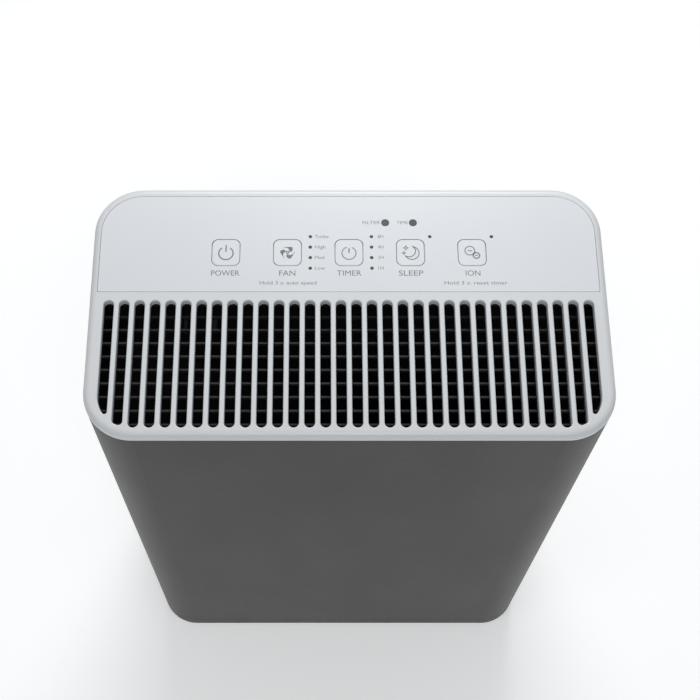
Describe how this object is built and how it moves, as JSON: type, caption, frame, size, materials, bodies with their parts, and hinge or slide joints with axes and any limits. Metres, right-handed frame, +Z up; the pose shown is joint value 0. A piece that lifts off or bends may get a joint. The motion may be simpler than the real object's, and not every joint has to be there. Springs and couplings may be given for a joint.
{
  "type": "air purifier",
  "caption": "Upright box-shaped air purifier with a slotted top outlet, a flush key panel and a pull-off rear intake cover over its filter.",
  "frame": {"origin": "middle of the footprint, at the floor, under the feet", "axes": "+Z up, +X to the right when facing the front, +Y to the back (the intake side)"},
  "size_m": [0.336, 0.178, 0.52],
  "materials": {
    "cap_white": "satin",
    "panel_white": "satin",
    "case_dark": "satin",
    "rear_dark": "fine texture",
    "foot_rubber": "matt",
    "lens": "smoked",
    "ink": "printed",
    "circuit": "solder mask",
    "black_plastic": "matt",
    "inner_grey": "moulded",
    "fan_plastic": "glass-filled",
    "steel": "plated",
    "motor_metal": "cast",
    "copper": "enamelled wire",
    "nickel": "bright",
    "filter_board": "card",
    "filter_paper": "pleated paper",
    "carbon": "carbon mat",
    "net": "woven net",
    "foam": "foam",
    "tab": "webbing",
    "lead": "sheath",
    "ribbon": "flat cable",
    "transformer": "taped"
  },
  "bodies": {
    "case": {"base": "rear_dark", "feet": "foot_rubber", "front_cover": "case_dark", "rear_housing": "case_dark", "top_cover": "cap_white", "control_panel": "panel_white", "indicator_lenses": "lens", "status_lenses": "lens", "control_board": "circuit", "key_switches": "black_plastic", "indicator_leds": "lens", "board_screws": "steel", "handle_cup": "rear_dark", "power_inlet": "black_plastic", "inlet_pins": "nickel", "filter_bay": "inner_grey", "inlet_guard": "inner_grey", "scroll_housing": "inner_grey", "motor_can": "motor_metal", "motor_end_cap": "motor_metal", "stator_core": "steel", "motor_winding": "copper", "motor_bearings": "steel", "motor_screws": "steel", "outlet_guard": "inner_grey", "main_board": "circuit", "power_transformer": "transformer", "capacitors": "black_plastic", "relay": "black_plastic", "board_connectors": "tab", "ion_generator": "black_plastic", "ion_brushes": "carbon", "dust_sensor": "black_plastic", "inlet_leads": "lead", "motor_lead": "lead", "motor_connector": "tab", "panel_ribbon": "ribbon", "case_screws": "steel"},
    "power_key_cap": {"power_key": "panel_white"},
    "fan_key_cap": {"fan_key": "panel_white"},
    "timer_key_cap": {"timer_key": "panel_white"},
    "sleep_key_cap": {"sleep_key": "panel_white"},
    "ion_key_cap": {"ion_key": "panel_white"},
    "fan": {"fan_wheel": "fan_plastic", "fan_hub": "motor_metal", "hub_nut": "steel", "motor_shaft": "steel", "motor_rotor": "steel"},
    "rear_cover_unit": {"rear_cover": "rear_dark", "cover_clips": "rear_dark"},
    "prefilter": {"prefilter_frame": "black_plastic", "prefilter_net": "net"},
    "filter": {"filter_frame": "filter_board", "filter_seal": "foam", "filter_pleats": "filter_paper", "carbon_mat": "carbon", "filter_pull_tabs": "tab"}
  },
  "joints": [
    {"name": "power_key_press", "type": "slide", "parent": "case", "child": "power_key_cap", "axis": [0, 0, -1], "range_m": [0, 0.0008], "stiffness_N_per_m": 1500},
    {"name": "fan_key_press", "type": "slide", "parent": "case", "child": "fan_key_cap", "axis": [0, 0, -1], "range_m": [0, 0.0008], "stiffness_N_per_m": 1500},
    {"name": "timer_key_press", "type": "slide", "parent": "case", "child": "timer_key_cap", "axis": [0, 0, -1], "range_m": [0, 0.0008], "stiffness_N_per_m": 1500},
    {"name": "sleep_key_press", "type": "slide", "parent": "case", "child": "sleep_key_cap", "axis": [0, 0, -1], "range_m": [0, 0.0008], "stiffness_N_per_m": 1500},
    {"name": "ion_key_press", "type": "slide", "parent": "case", "child": "ion_key_cap", "axis": [0, 0, -1], "range_m": [0, 0.0008], "stiffness_N_per_m": 1500},
    {"name": "fan_spin", "type": "hinge", "parent": "case", "child": "fan", "pos_m": [0, 0, 0.19], "axis": [0, 1, 0], "continuous": true},
    {"name": "rear_cover_slide", "type": "slide", "parent": "case", "child": "rear_cover_unit", "axis": [0, 1, 0], "range_m": [0, 0.24]},
    {"name": "prefilter_slide", "type": "slide", "parent": "case", "child": "prefilter", "axis": [0, 1, 0], "range_m": [0, 0.168]},
    {"name": "filter_slide", "type": "slide", "parent": "case", "child": "filter", "axis": [0, 1, 0], "range_m": [0, 0.1008]}
  ],
  "couplings": [
    {"joint": "prefilter_slide", "follows": "rear_cover_slide", "ratio": 0.7},
    {"joint": "filter_slide", "follows": "rear_cover_slide", "ratio": 0.42}
  ]
}
